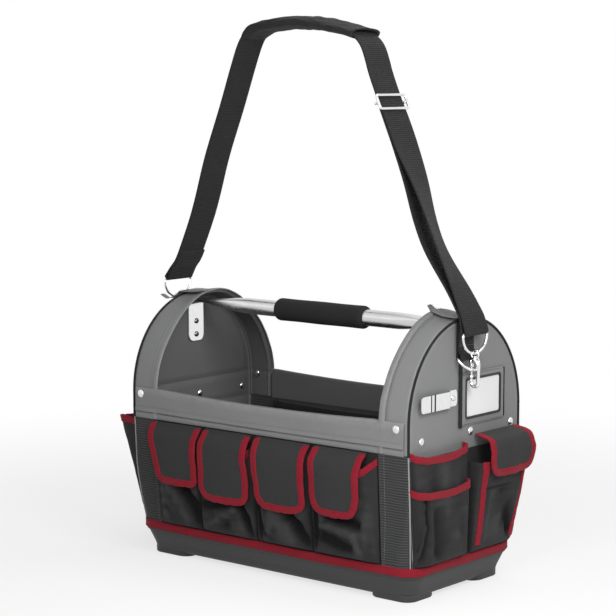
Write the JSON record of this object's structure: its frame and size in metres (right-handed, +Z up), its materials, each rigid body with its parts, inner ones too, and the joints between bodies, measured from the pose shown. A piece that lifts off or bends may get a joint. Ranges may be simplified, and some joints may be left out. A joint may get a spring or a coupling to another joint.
{
  "type": "tool bag",
  "caption": "Open-top tool bag with a moulded base, arched ends, outside pockets with flaps, a carrying tube and a padded shoulder strap on swivel hooks.",
  "frame": {"origin": "centre of the part's bottom, on the surface that the four feet stand on", "axes": "+Z up, +X towards the end with the card holder and the tape clip, -Y towards the side with the four flap pockets"},
  "size_m": [0.5398, 0.2818, 0.726],
  "materials": {
    "grey_coated": "satin coated cloth",
    "black_fabric": "matte weave",
    "red_binding": "ribbed tape",
    "black_cord": "satin",
    "tub_plastic": "fine grained",
    "board": "matte",
    "steel": "satin",
    "chrome": "bright plated",
    "foam": "foamed, matte",
    "webbing": "ribbed weave",
    "card": "plain",
    "black_plastic": "satin"
  },
  "bodies": {
    "bag": {"base_tub": "tub_plastic", "floor_board": "board", "base_binding": "red_binding", "front_wall": "black_fabric", "back_wall": "black_fabric", "left_end_panel": "grey_coated", "right_end_panel": "grey_coated", "left_arch_band": "grey_coated", "right_arch_band": "grey_coated", "left_piping": "black_cord", "right_piping": "black_cord", "front_top_band": "grey_coated", "back_top_band": "grey_coated", "front_pocket_1": "black_fabric", "front_pocket_2": "black_fabric", "front_pocket_3": "black_fabric", "front_pocket_4": "black_fabric", "back_pocket_1": "black_fabric", "back_pocket_2": "black_fabric", "back_pocket_3": "black_fabric", "inner_pocket": "black_fabric", "right_upper_pocket": "black_fabric", "right_lower_pocket": "black_fabric", "left_open_pocket": "black_fabric", "left_flap_pocket": "black_fabric", "right_flap_pocket": "black_fabric", "handle_tube": "steel", "handle_grip": "foam", "handle_plate_left": "chrome", "handle_plate_right": "chrome", "plate_screw_left_1": "chrome", "plate_screw_left_2": "chrome", "plate_screw_right_1": "chrome", "plate_screw_right_2": "chrome", "card_holder": "black_plastic", "tape_clip": "chrome", "top_tab_left": "grey_coated", "top_tab_right": "grey_coated", "strap_loop_left": "webbing", "strap_loop_right": "webbing", "swivel_eye_left": "chrome", "swivel_eye_right": "chrome"},
    "front_cover_1": {"front_flap_1": "black_fabric"},
    "front_cover_2": {"front_flap_2": "black_fabric"},
    "front_cover_3": {"front_flap_3": "black_fabric"},
    "front_cover_4": {"front_flap_4": "black_fabric"},
    "left_cover": {"left_end_flap": "black_fabric"},
    "right_cover": {"right_end_flap": "black_fabric"},
    "name_card": {"card": "card"},
    "left_d_ring": {"d_ring_left": "chrome"},
    "right_d_ring": {"d_ring_right": "chrome"},
    "left_snap": {"hook_left": "chrome"},
    "right_snap": {"hook_right": "chrome"},
    "left_bolt": {"hook_bolt_left": "chrome"},
    "right_bolt": {"hook_bolt_right": "chrome"},
    "carry_strap": {"strap_webbing": "webbing", "shoulder_pad": "black_fabric", "strap_ring_left": "chrome", "strap_ring_right": "chrome"},
    "slide_buckle": {"strap_slider": "chrome"}
  },
  "joints": [
    {"name": "front_flap_1_lift", "type": "hinge", "parent": "bag", "child": "front_cover_1", "pos_m": [-0.1475, -0.12113, 0.1858], "axis": [-1, 0, 0], "range_deg": [0, 105]},
    {"name": "front_flap_2_lift", "type": "hinge", "parent": "bag", "child": "front_cover_2", "pos_m": [-0.062, -0.12113, 0.1858], "axis": [-1, 0, 0], "range_deg": [0, 105]},
    {"name": "front_flap_3_lift", "type": "hinge", "parent": "bag", "child": "front_cover_3", "pos_m": [0.035, -0.12113, 0.1858], "axis": [-1, 0, 0], "range_deg": [0, 105]},
    {"name": "front_flap_4_lift", "type": "hinge", "parent": "bag", "child": "front_cover_4", "pos_m": [0.1215, -0.12113, 0.1858], "axis": [-1, 0, 0], "range_deg": [0, 105]},
    {"name": "left_end_flap_lift", "type": "hinge", "parent": "bag", "child": "left_cover", "pos_m": [-0.2338, 0.0595, 0.1955], "axis": [0, 1, 0], "range_deg": [0, 100]},
    {"name": "right_end_flap_lift", "type": "hinge", "parent": "bag", "child": "right_cover", "pos_m": [0.2338, 0.0595, 0.1955], "axis": [0, -1, 0], "range_deg": [0, 100]},
    {"name": "card_slide", "type": "slide", "parent": "bag", "child": "name_card", "axis": [0, 1, 0], "range_m": [0, 0.085]},
    {"name": "left_d_ring_swing", "type": "hinge", "parent": "bag", "child": "left_d_ring", "pos_m": [-0.2367, -0.006, 0.3], "axis": [0, 1, 0], "range_deg": [0, 10]},
    {"name": "right_d_ring_swing", "type": "hinge", "parent": "bag", "child": "right_d_ring", "pos_m": [0.2367, -0.006, 0.3], "axis": [0, 1, 0], "range_deg": [-4, 4]},
    {"name": "left_hook_turn", "type": "hinge", "parent": "bag", "child": "left_snap", "pos_m": [-0.2559, -0.006, 0.33319], "axis": [0, 0, 1], "range_deg": [-20, 20]},
    {"name": "right_hook_turn", "type": "hinge", "parent": "bag", "child": "right_snap", "pos_m": [0.24923, -0.006, 0.29796], "axis": [0, 0, 1], "range_deg": [-20, 20]},
    {"name": "left_bolt_slide", "type": "slide", "parent": "left_snap", "child": "left_bolt", "axis": [0, 0, 1], "range_m": [0, 0.0047], "stiffness_N_per_m": 300, "springref_m": -0.004},
    {"name": "right_bolt_slide", "type": "slide", "parent": "right_snap", "child": "right_bolt", "axis": [0, 0, 1], "range_m": [0, 0.0047], "stiffness_N_per_m": 300, "springref_m": -0.004},
    {"name": "strap_swing", "type": "hinge", "parent": "bag", "child": "carry_strap", "pos_m": [-0.00333, -0.006, 0.34937], "axis": [0.9976, 0, -0.0696], "range_deg": [-32, 32]},
    {"name": "slider_slide", "type": "slide", "parent": "carry_strap", "child": "slide_buckle", "axis": [0.3993, 0, -0.9168], "range_m": [-0.02, 0.04]}
  ]
}
